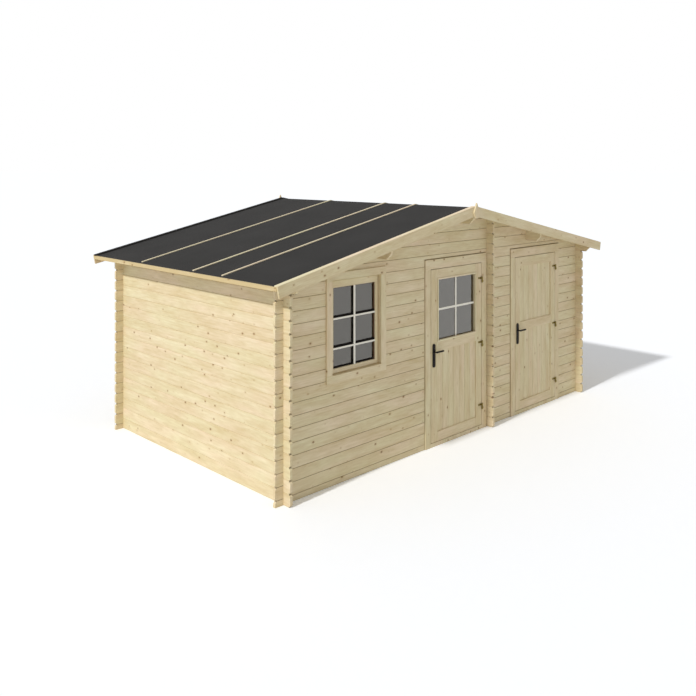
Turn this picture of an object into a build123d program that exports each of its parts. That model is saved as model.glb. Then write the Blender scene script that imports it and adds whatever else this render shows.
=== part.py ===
from build123d import *
from math import cos, radians, sin, tan
import os

# Timber garden shed of interlocking logs, with two rooms under one low gable roof.
# Millimetres, +Z up. The origin is on the ground under the middle of the shed.
# +X runs to the right along the front, and the front faces -Y.

os.makedirs("parts", exist_ok=True)

# Walls
LOG_T = 28.0            # thickness of a log
LOG_P = 114.0           # height of a log, from seam to seam
ROWS = 17               # rows of logs in the side walls
WALL_W = 4920.0         # outer face to outer face, left to right
WALL_D = 2820.0         # outer face to outer face, front to back
ARM = 90.0              # how far the crossed log ends stand out at the corners
PARTITION_X = 502.0     # middle of the wall between the rooms
EDGE = 4.0              # bevel along a log's outer edges, half of the V at each seam
END_BEVEL = 20.0        # bevel above and below on each free log end
SEAM = 0.4              # play between two logs that lie on each other
PLAY = 0.3              # play round a log in the notch that holds it

# Roof
PITCH = 11.8            # degrees
EAVE_Z = 1945.0         # underside of the roof boards over a side wall's outer face
EAVE_OUT = 237.0        # overhang beyond a side wall
GABLE_OUT = 196.0       # overhang of the roof boards beyond a gable wall
BOARD_T = 19.0
FELT_T = 4.0
BARGE_W = 101.0
BARGE_T = 18.0
BARGE_RISE = 8.0        # the bargeboard's top edge above the top of the felt
STRIP_T = 16.0
STRIP_H = 33.0          # at the outer face, from the top of the felt
PURLIN_H = 156.0
PURLIN_X = 1296.0       # middle of the purlin half-way down each slope
PURLIN_BEVEL = (58.0, 56.0)
BATTEN_W = 22.0
BATTEN_T = 8.0
BATTEN_Y = (-774.0, -303.0, 640.0)
BATTEN_EAVE_GAP = 48.0
FINIAL_T = 18.0
FINIAL_TOP = 2530.0
FINIAL_H = 165.0
FINIAL_HALF_W = 45.0
FINIAL_FOOT_HALF_W = 15.0
FINIAL_SHOULDER = 104.0

# Doors, both alike but for the filling
DOOR_MIDS = {"left": -56.5, "right": 1478.5}
LEAF_W = 869.0
LEAF_Z = (47.0, 1843.0)
LEAF_T = 40.0
FRAME_FACE = 10.0       # the door frame's face stands this far out of the wall
JAMB_W = 82.0
FRAME_TOP = 1948.0
FRAME_DEPTH = 57.0
SHUT_GAP = 7.0          # on the lock side
HINGE_GAP = 6.0
STOP_W = 16.0
STOP_T = 12.0
STOP_LAP = 24.0
STRIP_LAP = 20.0        # the strip behind the open joint round the frame
SHADOW_GAP = 8.0        # open joint between the wall and the frame
HEAD_GAP = 10.0
STILE_W = 100.0
TOP_RAIL_H = 107.0
MID_RAIL = (990.0, 1097.0)
MID_RAIL_SOLID_DOOR = (977.0, 1077.0)
BOTTOM_RAIL_H = 100.0
GLAZING_STILE = 115.0
PANEL_T = 18.0
PANEL_SET_BACK = 10.0
PANEL_BOARDS = 7
PANEL_V = 3.0
DOOR_GLASS_BACK = 24.0
GLASS_T = 4.0

# Door furniture
PLATE_W = 42.0
PLATE_H = 245.0
PLATE_T = 9.0
PLATE_BEVEL = 2.5
PLATE_Z = 950.0
LEVER_Z = 990.0
LEVER_IN = 41.0         # from the leaf's shutting edge to the lever's axis
NECK_R = 7.5
GRIP_OUT = 38.0         # from the leaf's face to the back of the grip
GRIP_L = 122.0
GRIP_H = 17.0
GRIP_T = 13.0
GRIP_BEVEL = 3.0
BORE_SIDES = 8
NECK_SIDES = 16
SPINDLE_W = 8.0
SPINDLE_HOLE_R = 11.0
HINGE_Z = (255.0, 950.0, 1660.0)
HINGE_PIN_R = 3.5
HINGE_PIN_H = 26.0
HINGE_BORE_R = 3.8
HINGE_OUT = 14.0        # hinge axis in front of the leaf's face
HINGE_IN = 2.0          # hinge axis inside the leaf's hinge edge
BARREL_R = 7.5
BARREL_H = 33.0
BARREL_GAP = 1.0
HINGE_PLATE_L = 52.0
HINGE_PLATE_T = 3.0
HINGE_PLATE_H = 20.0
KNUCKLE = (5.0, 16.0)   # from the hinge axis to the near and far side of the knuckle
KNUCKLE_T = 8.0

# Window
WINDOW_X = (-1964.0, -1179.0)
WINDOW_Z = (938.0, 1945.0)
CASING_W = 70.0
CASING_T = 16.0
LINING_T = 23.0
LINING_DEPTH = 70.0
SASH_FRONT = 24.0
SASH_T = 40.0
SASH_GAP = 10.0
SASH_STILE = 35.0
SASH_TOP = 63.0
SASH_BOTTOM = 37.0
REBATE_FRONT = 32.0
PANE_BACK = 27.0

# Floor
FLOOR_TOP = 41.0
FLOOR_T = 19.0
BEARER_W = 45.0
BEARERS = 6
FLOOR_GAP = 5.0

HALF_W = WALL_W / 2
HALF_D = WALL_D / 2
SLOPE = tan(radians(PITCH))
COS_P = cos(radians(PITCH))
SIN_P = sin(radians(PITCH))
RIDGE_Z = EAVE_Z + HALF_W * SLOPE
EAVE_LAP_Z = ((ROWS - 0.5) * LOG_P + EAVE_Z) / 2    # where an eave log and the lowest gable row meet
EAVE_X = HALF_W + EAVE_OUT
ROOF_Y = HALF_D + GABLE_OUT
DOOR_FACE = -HALF_D - FRAME_FACE
DOOR_HALF_OUTER = LEAF_W / 2 + JAMB_W + (SHUT_GAP + HINGE_GAP) / 2


def roof_z(x, lift=0.0):
    """Height of the roof boards' underside at x, raised by lift square to the slope."""
    return RIDGE_Z - abs(x) * SLOPE + lift / COS_P


def box(x0, x1, y0, y1, z0, z1):
    """A block between two corners."""
    return Pos(x0, y0, z0) * Box(x1 - x0, y1 - y0, z1 - z0, align=(Align.MIN,) * 3)


def along_y(points, y0, y1):
    """A prism from y0 to y1 whose section in X and Z goes through the points."""
    face = make_face(Polyline(*points, close=True))
    return extrude(Plane.XZ.offset(-y1) * face, amount=y1 - y0)


def along_x(points, x0, x1):
    """A prism from x0 to x1 whose section in Y and Z goes through the points."""
    face = make_face(Polyline(*points, close=True))
    return extrude(Plane.YZ.offset(x0) * face, amount=x1 - x0)


def along_z(points, z0, z1):
    """A prism from z0 to z1 whose section in X and Y goes through the points."""
    face = make_face(Polyline(*points, close=True))
    return extrude(Plane.XY.offset(z0) * face, amount=z1 - z0)


def log_section(low, z0, z1, bevels):
    """Section of a log, bevelled on its low face, its high face or both."""
    bottom, top = (z0 + SEAM / 2 if z0 else 0.0), z1 - SEAM / 2
    high = low + LOG_T
    left = EDGE if "low" in bevels else 0.0
    right = EDGE if "high" in bevels else 0.0
    points = [(low + left, bottom), (high - right, bottom)]
    if right:
        points += [(high, bottom + right), (high, top - right)]
    points += [(high - right, top), (low + left, top)]
    if left:
        points += [(low, top - left), (low, bottom + left)]
    return points


def log_outline(u0, u1, z0, z1, notches, free_ends, row_z):
    """Side view of a log: free ends bevelled, and a notch from below astride each crossing log."""
    start = END_BEVEL if "start" in free_ends else 0.0
    end = END_BEVEL if "end" in free_ends else 0.0
    on_ground = z0 > row_z
    points = [(u0 if on_ground else u0 + start, z0)]
    for c0, c1, top in notches:
        if z0 < top:
            left, right = c0 - PLAY, c1 + PLAY
            points += [(left, z0), (left, top), (right, top), (right, z0)]
    points += [(u1 if on_ground else u1 - end, z0)]
    if end:
        points += [] if on_ground else [(u1, z0 + end)]
        points += [(u1, z1 - end)]
    points += [(u1 - end, z1), (u0 + start, z1)]
    if start:
        points += [(u0, z1 - start)]
        points += [] if on_ground else [(u0, z0 + start)]
    return points


def make_log(axis, low, u0, u1, z0, z1, row_z, notches, free_ends, bevels):
    """One log along axis, its thickness from low, with what stands across it let in."""
    outline = log_outline(u0, u1, z0, z1, notches, free_ends, row_z)
    section = log_section(low, z0, z1, bevels)
    if axis == "x":
        return along_y(outline, low, low + LOG_T) & along_x(section, u0, u1)
    return along_x(outline, low, low + LOG_T) & along_y(section, u0, u1)


def under_roof(grow=0.0):
    """The space below the roof boards, wide and long enough for every wall."""
    reach = HALF_W + ARM + LOG_P
    points = [(-reach, -LOG_P), (reach, -LOG_P), (reach, roof_z(reach) + grow)]
    points += [(0, RIDGE_Z + grow), (-reach, roof_z(reach) + grow)]
    return along_y(points, -ROOF_Y, ROOF_Y)


BELOW_ROOF = under_roof(-PLAY)
FRONT_WALL_Y = (-HALF_D, -HALF_D + LOG_T)
BACK_WALL_Y = (HALF_D - LOG_T, HALF_D)
LEFT_WALL_X = (-HALF_W, -HALF_W + LOG_T)
RIGHT_WALL_X = (HALF_W - LOG_T, HALF_W)
PARTITION = (PARTITION_X - LOG_T / 2, PARTITION_X + LOG_T / 2)


def side_wall(low, bevels):
    """Rows of whole logs from front to back. The top one runs out under the roof."""
    logs = []
    end = HALF_D + ARM
    for row in range(ROWS - 1):
        z0 = row * LOG_P
        notches = gable_wall_notches(z0)
        logs.append(make_log("y", low, -end, end, z0, z0 + LOG_P, z0, notches, ("start", "end"), bevels))
    z0 = (ROWS - 1) * LOG_P
    z1 = z0 + LOG_P * 1.5
    eave_log = make_log("y", low, -ROOF_Y, ROOF_Y, z0, z1, z0, gable_wall_notches(z0), (), bevels)
    eave_log = (eave_log & BELOW_ROOF) - purlin_end_bevels(z0)
    for y0, y1 in (FRONT_WALL_Y, BACK_WALL_Y):
        eave_log = eave_log - box(low - 1, low + LOG_T + 1, y0 - PLAY, y1 + PLAY, EAVE_LAP_Z - SEAM, z1)
    return logs + eave_log.solids()


def gable_wall_notches(row_z):
    """Where both gable walls cross a log that runs from front to back."""
    return [(y0, y1, row_z + LOG_P / 2) for y0, y1 in (FRONT_WALL_Y, BACK_WALL_Y)]


def purlin_end_bevels(z0):
    """What is sawn off below the two ends of a member that carries the roof."""
    back, up = PURLIN_BEVEL
    wedges = []
    for side in (-1, 1):
        end = side * (ROOF_Y + 1)
        points = [(end - side * (back + 1), z0 - 1), (end, z0 - 1), (end, z0 + up)]
        wedges.append(along_x(points, -EAVE_X, EAVE_X))
    return wedges


def partition_wall():
    """Rows like those of the side walls, up to the roof, with their ends through both gable walls."""
    logs = []
    top = roof_z(PARTITION[0])
    z0 = 0.0
    end = HALF_D + ARM
    ends = ("start", "end")
    while z0 < top:
        notches = gable_wall_notches(z0)
        whole = make_log("y", PARTITION[0], -end, end, z0, z0 + LOG_P, z0, notches, ends, ("low",))
        logs.append(whole & BELOW_ROOF if z0 + LOG_P > top - LOG_T else whole)
        z0 += LOG_P
    return logs


def gable_row_levels():
    """Bottom and top of each row of a gable wall, with half a log at the ground."""
    levels = [(0.0, LOG_P / 2, -LOG_P / 2)]
    z0 = LOG_P / 2
    while z0 + LOG_P / 4 < RIDGE_Z:
        levels.append((z0, z0 + LOG_P, z0))
        z0 += LOG_P
    return levels


def wall_row(low, u0, u1, level, free_ends, bevels):
    """The log of a gable wall that lies between u0 and u1 in one row."""
    z0, z1, row_z = level
    middle = row_z + LOG_P / 2
    crossings = [(*LEFT_WALL_X, min(middle, EAVE_LAP_Z)), (*PARTITION, middle),
                 (*RIGHT_WALL_X, min(middle, EAVE_LAP_Z))]
    notches = [(c0, c1, top) for c0, c1, top in crossings
               if u0 < c0 and c1 < u1 and row_z < roof_z(max(abs(c0), abs(c1)))]
    return make_log("x", low, u0, u1, z0, z1, row_z, notches, free_ends, bevels)


def gable_rows(low, first, bevels):
    """The rows under the slopes, cut to the roof and round the purlins."""
    rows = []
    reach = HALF_W + ARM
    for level in gable_row_levels()[first:]:
        row = wall_row(low, -reach, reach, level, (), bevels) & BELOW_ROOF
        for slot in PURLIN_SLOTS:
            row = row - slot
        rows += [piece for piece in row.solids() if piece.volume > LOG_T ** 3]
    return rows


def purlin(mid):
    """A log on edge from gable to gable, its top cut to the slope and its ends sawn under."""
    z0 = roof_z(abs(mid)) - PURLIN_H
    z1 = z0 + PURLIN_H * 2
    member = box(mid - LOG_T / 2, mid + LOG_T / 2, -ROOF_Y, ROOF_Y, z0, z1) & BELOW_ROOF
    return member - purlin_end_bevels(z0)


def purlin_slot(mid):
    """The way through the gable logs for a purlin."""
    z0 = roof_z(abs(mid)) - PURLIN_H
    half = LOG_T / 2 + PLAY
    return box(mid - half, mid + half, -ROOF_Y, ROOF_Y, z0 - PLAY, z0 + PURLIN_H * 2)


PURLIN_MIDS = {"left_purlin": -PURLIN_X, "ridge_purlin": 0.0, "right_purlin": PURLIN_X}
PURLIN_SLOTS = [purlin_slot(mid) for mid in PURLIN_MIDS.values()]
GABLE_FIRST = ROWS


def door_outer(name):
    """Left and right edge of a door frame."""
    shift = (HINGE_GAP - SHUT_GAP) / 2
    mid = DOOR_MIDS[name] + shift
    return mid - DOOR_HALF_OUTER, mid + DOOR_HALF_OUTER


def front_wall(u0, u1, free_ends):
    """The rows beside the doors, from u0 to u1."""
    rows = []
    for level in gable_row_levels()[:GABLE_FIRST]:
        row = wall_row(FRONT_WALL_Y[0], u0, u1, level, free_ends, ("low",))
        if u0 < WINDOW_X[0] and level[1] > WINDOW_Z[0]:
            row = row - WINDOW_HOLE
        rows += row.solids()
    return rows


LINING_X = (WINDOW_X[0] + CASING_W - LINING_T, WINDOW_X[1] - CASING_W + LINING_T)
LINING_Z = (WINDOW_Z[0] + CASING_W - LINING_T, WINDOW_Z[1] - CASING_W + LINING_T)
WINDOW_HOLE = box(LINING_X[0] - 2, LINING_X[1] + 2, -HALF_D - 1, -HALF_D + LOG_T + 1,
                  LINING_Z[0] - 2, LINING_Z[1] + 2)


def door_hole(name):
    """What the door frame needs out of the row above it."""
    x0, x1 = door_outer(name)
    return box(x0 - SHADOW_GAP, x1 + SHADOW_GAP, -HALF_D - 1, -HALF_D + LOG_T + 1,
               LOG_P, FRAME_TOP + HEAD_GAP)


def front_gable():
    """The rows over the doors and the window, let out for their frames."""
    rows = gable_rows(FRONT_WALL_Y[0], GABLE_FIRST, ("low",))
    lowest = rows[0]
    for hole in (door_hole("left"), door_hole("right"), WINDOW_HOLE):
        lowest = lowest - hole
    return lowest.solids() + rows[1:]


def back_wall():
    """The plain rows of the back."""
    rows = []
    reach = HALF_W + ARM
    for level in gable_row_levels()[:GABLE_FIRST]:
        rows.append(wall_row(BACK_WALL_Y[0], -reach, reach, level, ("start", "end"), ("high",)))
    return rows


def slope_section(side, x_in, x_out, lift0, lift1):
    """Section of a layer on one slope between two heights above the boards' underside."""
    points = [(side * x_in, roof_z(x_in, lift0)), (side * x_out, roof_z(x_out, lift0))]
    points += [(side * x_out, roof_z(x_out, lift1)), (side * x_in, roof_z(x_in, lift1))]
    return points


def roof_boards(side):
    """The boarding of one slope."""
    return along_y(slope_section(side, PLAY / 2, EAVE_X - STRIP_T - PLAY, 0, BOARD_T), -ROOF_Y, ROOF_Y)


def roofing_felt(side):
    """The felt over the boards, up to the eave strip."""
    x_out = EAVE_X - STRIP_T - PLAY
    section = slope_section(side, PLAY / 2, x_out, BOARD_T + PLAY, BOARD_T + PLAY + FELT_T)
    return along_y(section, -ROOF_Y + PLAY, ROOF_Y - PLAY)


def eave_strip(side):
    """The strip nailed along the ends of the boards, as high as the felt."""
    x0, x1 = EAVE_X - STRIP_T, EAVE_X
    top = BOARD_T + PLAY + FELT_T
    foot = roof_z(x1, top) - STRIP_H
    points = [(side * x0, foot), (side * x1, foot)]
    points += [(side * x1, roof_z(x1, top)), (side * x0, roof_z(x0, top))]
    return along_y(points, -ROOF_Y, ROOF_Y)


def roof_batten(side, y):
    """A thin batten down the slope that holds the felt."""
    lift = BOARD_T + FELT_T + PLAY * 2
    section = slope_section(side, PLAY, EAVE_X - BATTEN_EAVE_GAP, lift, lift + BATTEN_T)
    return along_y(section, y - BATTEN_W / 2, y + BATTEN_W / 2)


def bargeboard(side, gable):
    """A board along the verge, cut plumb at the ridge and square at the eave."""
    lift = BOARD_T + PLAY + FELT_T + BARGE_RISE
    low = lift - BARGE_W
    top_z = roof_z(EAVE_X, lift)
    foot_x, foot_z = EAVE_X - BARGE_W * SIN_P, top_z - BARGE_W * COS_P
    points = [(side * PLAY / 2, roof_z(PLAY / 2, low)), (side * foot_x, foot_z)]
    points += [(side * EAVE_X, top_z), (side * PLAY / 2, roof_z(PLAY / 2, lift))]
    y0, y1 = sorted((gable * ROOF_Y, gable * (ROOF_Y + BARGE_T)))
    return along_y(points, y0, y1)


def finial(gable):
    """A pointed board over the joint of the bargeboards."""
    shoulder = FINIAL_TOP - FINIAL_SHOULDER
    foot = FINIAL_TOP - FINIAL_H
    points = [(-FINIAL_FOOT_HALF_W, foot), (FINIAL_FOOT_HALF_W, foot), (FINIAL_HALF_W, shoulder)]
    points += [(0, FINIAL_TOP), (-FINIAL_HALF_W, shoulder)]
    start = ROOF_Y + BARGE_T + PLAY
    y0, y1 = sorted((gable * start, gable * (start + FINIAL_T)))
    return along_y(points, y0, y1)


def frame_bars(x, z, y, left, right, bottom, top):
    """Two uprights of full height with a bar between them below and above."""
    x0, x1 = x
    z0, z1 = z
    gap = PLAY / 2
    bars = [box(x0, x0 + left, *y, z0, z1), box(x1 - right, x1, *y, z0, z1)]
    bars.append(box(x0 + left + gap, x1 - right - gap, *y, z0, z0 + bottom))
    bars.append(box(x0 + left + gap, x1 - right - gap, *y, z1 - top, z1))
    return bars


def window_parts():
    """The casing boards, the lining in the wall, the sash and its sheet of glass."""
    casing_y = (-HALF_D - CASING_T, -HALF_D - PLAY)
    lining_y = (-HALF_D, -HALF_D + LINING_DEPTH)
    inner_x = (WINDOW_X[0] + CASING_W, WINDOW_X[1] - CASING_W)
    inner_z = (WINDOW_Z[0] + CASING_W, WINDOW_Z[1] - CASING_W)
    sash_x = (inner_x[0] + SASH_GAP, inner_x[1] - SASH_GAP)
    sash_z = (inner_z[0] + SASH_GAP, inner_z[1] - SASH_GAP)
    sash_y = (-HALF_D + SASH_FRONT, -HALF_D + SASH_FRONT + SASH_T)
    glass_y = (sash_y[0] + PANE_BACK - GLASS_T, sash_y[0] + PANE_BACK)
    parts = {}
    parts["window_casing"] = frame_bars(WINDOW_X, WINDOW_Z, casing_y, *(CASING_W,) * 4)
    rebate_y = (-HALF_D + REBATE_FRONT, -HALF_D + LINING_DEPTH)
    rebate = frame_bars(inner_x, inner_z, rebate_y, *(SASH_GAP - PLAY,) * 4)
    parts["window_lining"] = frame_bars(LINING_X, LINING_Z, lining_y, *(LINING_T - PLAY,) * 4) + rebate
    parts["window_sash"] = frame_bars(sash_x, sash_z, sash_y, SASH_STILE, SASH_STILE, SASH_BOTTOM, SASH_TOP)
    pane = box(sash_x[0] + SASH_STILE + PLAY, sash_x[1] - SASH_STILE - PLAY, *glass_y,
               sash_z[0] + SASH_BOTTOM + PLAY, sash_z[1] - SASH_TOP - PLAY)
    parts["window_glass"] = [pane]
    return parts


def door_frame(name):
    """Posts, head and threshold, the stops on their back, and strips behind the log ends."""
    x0, x1 = door_outer(name)
    inner = (x0 + JAMB_W, x1 - JAMB_W)
    back = DOOR_FACE + FRAME_DEPTH
    post = (DOOR_FACE, back - STOP_T)
    stop = (back - STOP_T + PLAY, back)
    strip = (-HALF_D + LOG_T + PLAY, back)
    head_z = LEAF_Z[1] + HINGE_GAP
    sill_z = LEAF_Z[0] - HINGE_GAP
    strip_top = FRAME_TOP + STRIP_LAP
    return [
        box(x0, inner[0], *post, 0, head_z),
        box(inner[1], x1, *post, 0, head_z),
        box(x0, x1, *post, head_z + PLAY, FRAME_TOP),
        box(inner[0] + PLAY, inner[1] - PLAY, *post, 0, sill_z),
        box(inner[0] - STOP_LAP, inner[0] + STOP_W, *stop, 0, head_z - STOP_W),
        box(inner[1] - STOP_W, inner[1] + STOP_LAP, *stop, 0, head_z - STOP_W),
        box(inner[0] - STOP_LAP, inner[1] + STOP_LAP, *stop, head_z - STOP_W + PLAY, head_z + STOP_LAP),
        box(x0 - STRIP_LAP, x0 - PLAY, *strip, 0, strip_top),
        box(x1 + PLAY, x1 + STRIP_LAP, *strip, 0, strip_top),
        box(x0, x1, *strip, FRAME_TOP + PLAY, strip_top),
    ]


def boarded_panel(x0, x1, z0, z1):
    """Upright boards in one sheet, with a V at each joint on the outer face."""
    y0 = DOOR_FACE + PANEL_SET_BACK
    y1 = y0 + PANEL_T
    pitch = (x1 - x0) / PANEL_BOARDS
    points = [(x0, y0)]
    for i in range(1, PANEL_BOARDS):
        x = x0 + pitch * i
        points += [(x - PANEL_V, y0), (x, y0 + PANEL_V), (x + PANEL_V, y0)]
    return along_z(points + [(x1, y0), (x1, y1), (x0, y1)], z0, z1)


def leaf_edges(name):
    """The leaf's shutting edge and hinge edge."""
    mid = DOOR_MIDS[name]
    return mid - LEAF_W / 2, mid + LEAF_W / 2


def lever_axis_x(name):
    """Where the lever's spindle goes through the leaf."""
    return leaf_edges(name)[0] + LEVER_IN


def door_leaf(name, mid_rail, upper_stile):
    """Stiles and rails, and the fillings between them."""
    x0, x1 = leaf_edges(name)
    z0, z1 = LEAF_Z
    y = (DOOR_FACE, DOOR_FACE + LEAF_T)
    gap = PLAY / 2
    inner = (x0 + STILE_W, x1 - STILE_W)
    stiles = [box(x0, inner[0], *y, z0, z1), box(inner[1], x1, *y, z0, z1)]
    spindle_plane = Plane((lever_axis_x(name), DOOR_FACE, LEVER_Z), z_dir=(0, 1, 0))
    hole = spindle_plane * RegularPolygon(SPINDLE_HOLE_R, BORE_SIDES)
    stiles[0] = stiles[0] - extrude(hole, amount=LEAF_T)
    rails = [box(inner[0] + gap, inner[1] - gap, *y, low, high)
             for low, high in ((z0, z0 + BOTTOM_RAIL_H), mid_rail, (z1 - TOP_RAIL_H, z1))]
    beads = []
    if upper_stile > STILE_W:
        for x in ((inner[0] + gap, x0 + upper_stile), (x1 - upper_stile, inner[1] - gap)):
            beads.append(box(*x, *y, mid_rail[1] + gap, z1 - TOP_RAIL_H - gap))
    lower = boarded_panel(inner[0] + PLAY, inner[1] - PLAY, z0 + BOTTOM_RAIL_H + PLAY, mid_rail[0] - PLAY)
    return stiles + rails + beads, lower


def handle_plates(name):
    """Long rounded plates on both faces, bored for the lever."""
    x = lever_axis_x(name)
    plates = []
    for y, way in ((DOOR_FACE - PLAY, -1), (DOOR_FACE + LEAF_T + PLAY, 1)):
        flat = Plane((x, y, PLATE_Z), x_dir=(0, 0, 1), z_dir=(0, way, 0))
        plate = extrude(flat * SlotOverall(PLATE_H, PLATE_W), amount=PLATE_T)
        rim = plate.faces().sort_by(Axis.Y)[0 if way < 0 else -1].edges()
        bore = Plane((x, y, LEVER_Z), z_dir=(0, way, 0)) * RegularPolygon(NECK_R + 1.5, BORE_SIDES)
        plates.append(chamfer(rim, PLATE_BEVEL) - extrude(bore, amount=PLATE_T))
    return plates


def lever_pair(name):
    """Both levers and the square spindle between them, which turn as one."""
    x = lever_axis_x(name)
    middle = DOOR_FACE + LEAF_T / 2
    reach = LEAF_T / 2 + GRIP_OUT
    shaft = Pos(x, middle, LEVER_Z) * Rot(90, 0, 0)
    pair = shaft * Box(SPINDLE_W, SPINDLE_W, LEAF_T)
    for way in (-1, 1):
        root = Plane((x, middle + way * LEAF_T / 2, LEVER_Z), z_dir=(0, way, 0))
        pair += extrude(root * RegularPolygon(NECK_R, NECK_SIDES), amount=GRIP_OUT)
        middle_of_grip = (x + GRIP_L / 2 - GRIP_H / 2, middle + way * reach, LEVER_Z)
        flat = Plane(middle_of_grip, x_dir=(1, 0, 0), z_dir=(0, way, 0))
        grip = extrude(flat * SlotOverall(GRIP_L, GRIP_H), amount=GRIP_T)
        rim = grip.faces().sort_by(Axis.Y)[0 if way < 0 else -1].edges()
        pair += chamfer(rim, GRIP_BEVEL)
    return pair


def hinge_axis(name):
    """The upright line that a leaf swings on."""
    return leaf_edges(name)[1] - HINGE_IN, DOOR_FACE - HINGE_OUT


def knuckle(x, y, z, way):
    """What joins a sleeve to the flat it is fixed on, to the left or the right of the hinge axis."""
    half = HINGE_PLATE_H / 2
    x0, x1 = sorted((x + way * KNUCKLE[0], x + way * KNUCKLE[1]))
    return box(x0, x1, y - KNUCKLE_T / 2, DOOR_FACE - PLAY, z - half, z + half)


def hinge_sleeves(name):
    """The leaf's half of each hinge: a sleeve, its knuckle and a flat arm on the stile."""
    x, y = hinge_axis(name)
    half = HINGE_PLATE_H / 2
    flat = DOOR_FACE - PLAY
    end = x - KNUCKLE[0]
    sleeves = []
    for z in HINGE_Z:
        height = z + (BARREL_GAP + BARREL_H) / 2
        sleeve = Pos(x, y, height) * Cylinder(BARREL_R, BARREL_H) + knuckle(x, y, height, -1)
        arm = box(end - HINGE_PLATE_L, end, flat - HINGE_PLATE_T, flat, height - half, height + half)
        foot = Plane((x, y, height - BARREL_H / 2))
        bore = foot * RegularPolygon(HINGE_BORE_R, BORE_SIDES, major_radius=False)
        sleeves.append(sleeve + arm - extrude(bore, amount=HINGE_PIN_H))
    return sleeves


def hinge_pins(name):
    """The frame's half of each hinge: the lower sleeve with the pin that stands in it, and its knuckle."""
    x, y = hinge_axis(name)
    pins = []
    for z in HINGE_Z:
        height = z - (BARREL_GAP + BARREL_H) / 2
        sleeve = Pos(x, y, height) * Cylinder(BARREL_R, BARREL_H) + knuckle(x, y, height, 1)
        pin = Plane((x, y, height + BARREL_H / 2)) * RegularPolygon(HINGE_PIN_R, BORE_SIDES)
        pins.append(sleeve + extrude(pin, amount=HINGE_PIN_H))
    return pins


def room_floor(x0, x1):
    """The floor boards of one room."""
    y = (-HALF_D + LOG_T + FLOOR_GAP, HALF_D - LOG_T - FLOOR_GAP)
    floor = box(x0 + FLOOR_GAP, x1 - FLOOR_GAP, *y, FLOOR_TOP - FLOOR_T, FLOOR_TOP)
    reach = STRIP_LAP + FLOOR_GAP
    frame_back = DOOR_FACE + FRAME_DEPTH + FLOOR_GAP
    for name in DOOR_MIDS:
        a, b = door_outer(name)
        floor = floor - box(a - reach, b + reach, y[0] - 1, frame_back, 0, FLOOR_TOP + 1)
    return floor


def floor_bearers():
    """Bearers from left to right under both floors, clear of the wall between them."""
    bearers = []
    first, last = -HALF_D + LOG_T + 2 * BEARER_W, HALF_D - LOG_T - 2 * BEARER_W
    step = (last - first) / (BEARERS - 1)
    for x0, x1 in ROOMS.values():
        for i in range(BEARERS):
            y = first + step * i
            bearers.append(box(x0 + FLOOR_GAP, x1 - FLOOR_GAP, y - BEARER_W / 2, y + BEARER_W / 2,
                               0, FLOOR_TOP - FLOOR_T - PLAY))
    return bearers


ROOMS = {"left": (LEFT_WALL_X[1], PARTITION[0]), "right": (PARTITION[1], RIGHT_WALL_X[0])}

left_door, right_door = door_outer("left"), door_outer("right")
nodes = {}
nodes["left_wall"] = side_wall(LEFT_WALL_X[0], ("low",))
nodes["right_wall"] = side_wall(RIGHT_WALL_X[0], ("high",))
nodes["partition_wall"] = partition_wall()
nodes["back_wall"] = back_wall()
nodes["back_gable"] = gable_rows(BACK_WALL_Y[0], GABLE_FIRST, ("high",))
nodes["front_wall_left"] = front_wall(-HALF_W - ARM, left_door[0] - SHADOW_GAP, ("start",))
nodes["front_wall_middle"] = front_wall(left_door[1] + SHADOW_GAP, right_door[0] - SHADOW_GAP, ())
nodes["front_wall_right"] = front_wall(right_door[1] + SHADOW_GAP, HALF_W + ARM, ("end",))
nodes["front_gable"] = front_gable()
for node, mid in PURLIN_MIDS.items():
    nodes[node] = [purlin(mid)]
for hand, side in (("left", -1), ("right", 1)):
    nodes[f"{hand}_roof_boards"] = [roof_boards(side)]
    nodes[f"{hand}_roofing_felt"] = [roofing_felt(side)]
    nodes[f"{hand}_roof_battens"] = [roof_batten(side, y) for y in BATTEN_Y]
    nodes[f"{hand}_eave_strip"] = [eave_strip(side)]
    for place, gable in (("front", -1), ("back", 1)):
        nodes[f"{place}_{hand}_bargeboard"] = [bargeboard(side, gable)]
nodes["front_finial"] = [finial(-1)]
nodes["back_finial"] = [finial(1)]
nodes.update(window_parts())

glazed, glazed_panel = door_leaf("left", MID_RAIL, GLAZING_STILE)
solid, solid_panel = door_leaf("right", MID_RAIL_SOLID_DOOR, STILE_W)
nodes["left_door_leaf"] = glazed
nodes["left_door_panel"] = [glazed_panel]
x0, x1 = leaf_edges("left")
glass_y = (DOOR_FACE + DOOR_GLASS_BACK, DOOR_FACE + DOOR_GLASS_BACK + GLASS_T)
nodes["left_door_glass"] = [box(x0 + GLAZING_STILE + PLAY, x1 - GLAZING_STILE - PLAY, *glass_y,
                                MID_RAIL[1] + PLAY, LEAF_Z[1] - TOP_RAIL_H - PLAY)]
nodes["right_door_leaf"] = solid
x0, x1 = leaf_edges("right")
upper_panel = boarded_panel(x0 + STILE_W + PLAY, x1 - STILE_W - PLAY,
                            MID_RAIL_SOLID_DOOR[1] + PLAY, LEAF_Z[1] - TOP_RAIL_H - PLAY)
nodes["right_door_panels"] = [solid_panel, upper_panel]
for hand in DOOR_MIDS:
    nodes[f"{hand}_door_frame"] = door_frame(hand)
    nodes[f"{hand}_door_handle_plates"] = handle_plates(hand)
    nodes[f"{hand}_door_levers"] = [lever_pair(hand)]
    nodes[f"{hand}_door_hinge_sleeves"] = hinge_sleeves(hand)
    nodes[f"{hand}_door_hinge_pins"] = hinge_pins(hand)
for hand, (x0, x1) in ROOMS.items():
    nodes[f"{hand}_room_floor"] = [room_floor(x0, x1)]
nodes["floor_bearers"] = floor_bearers()

for node, pieces in nodes.items():
    solids = [solid for piece in pieces for solid in piece.solids()]
    shape = solids[0] if len(solids) == 1 else Compound(children=solids)
    export_step(shape, f"parts/{node}.step")
    print(node, len(solids))
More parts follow.
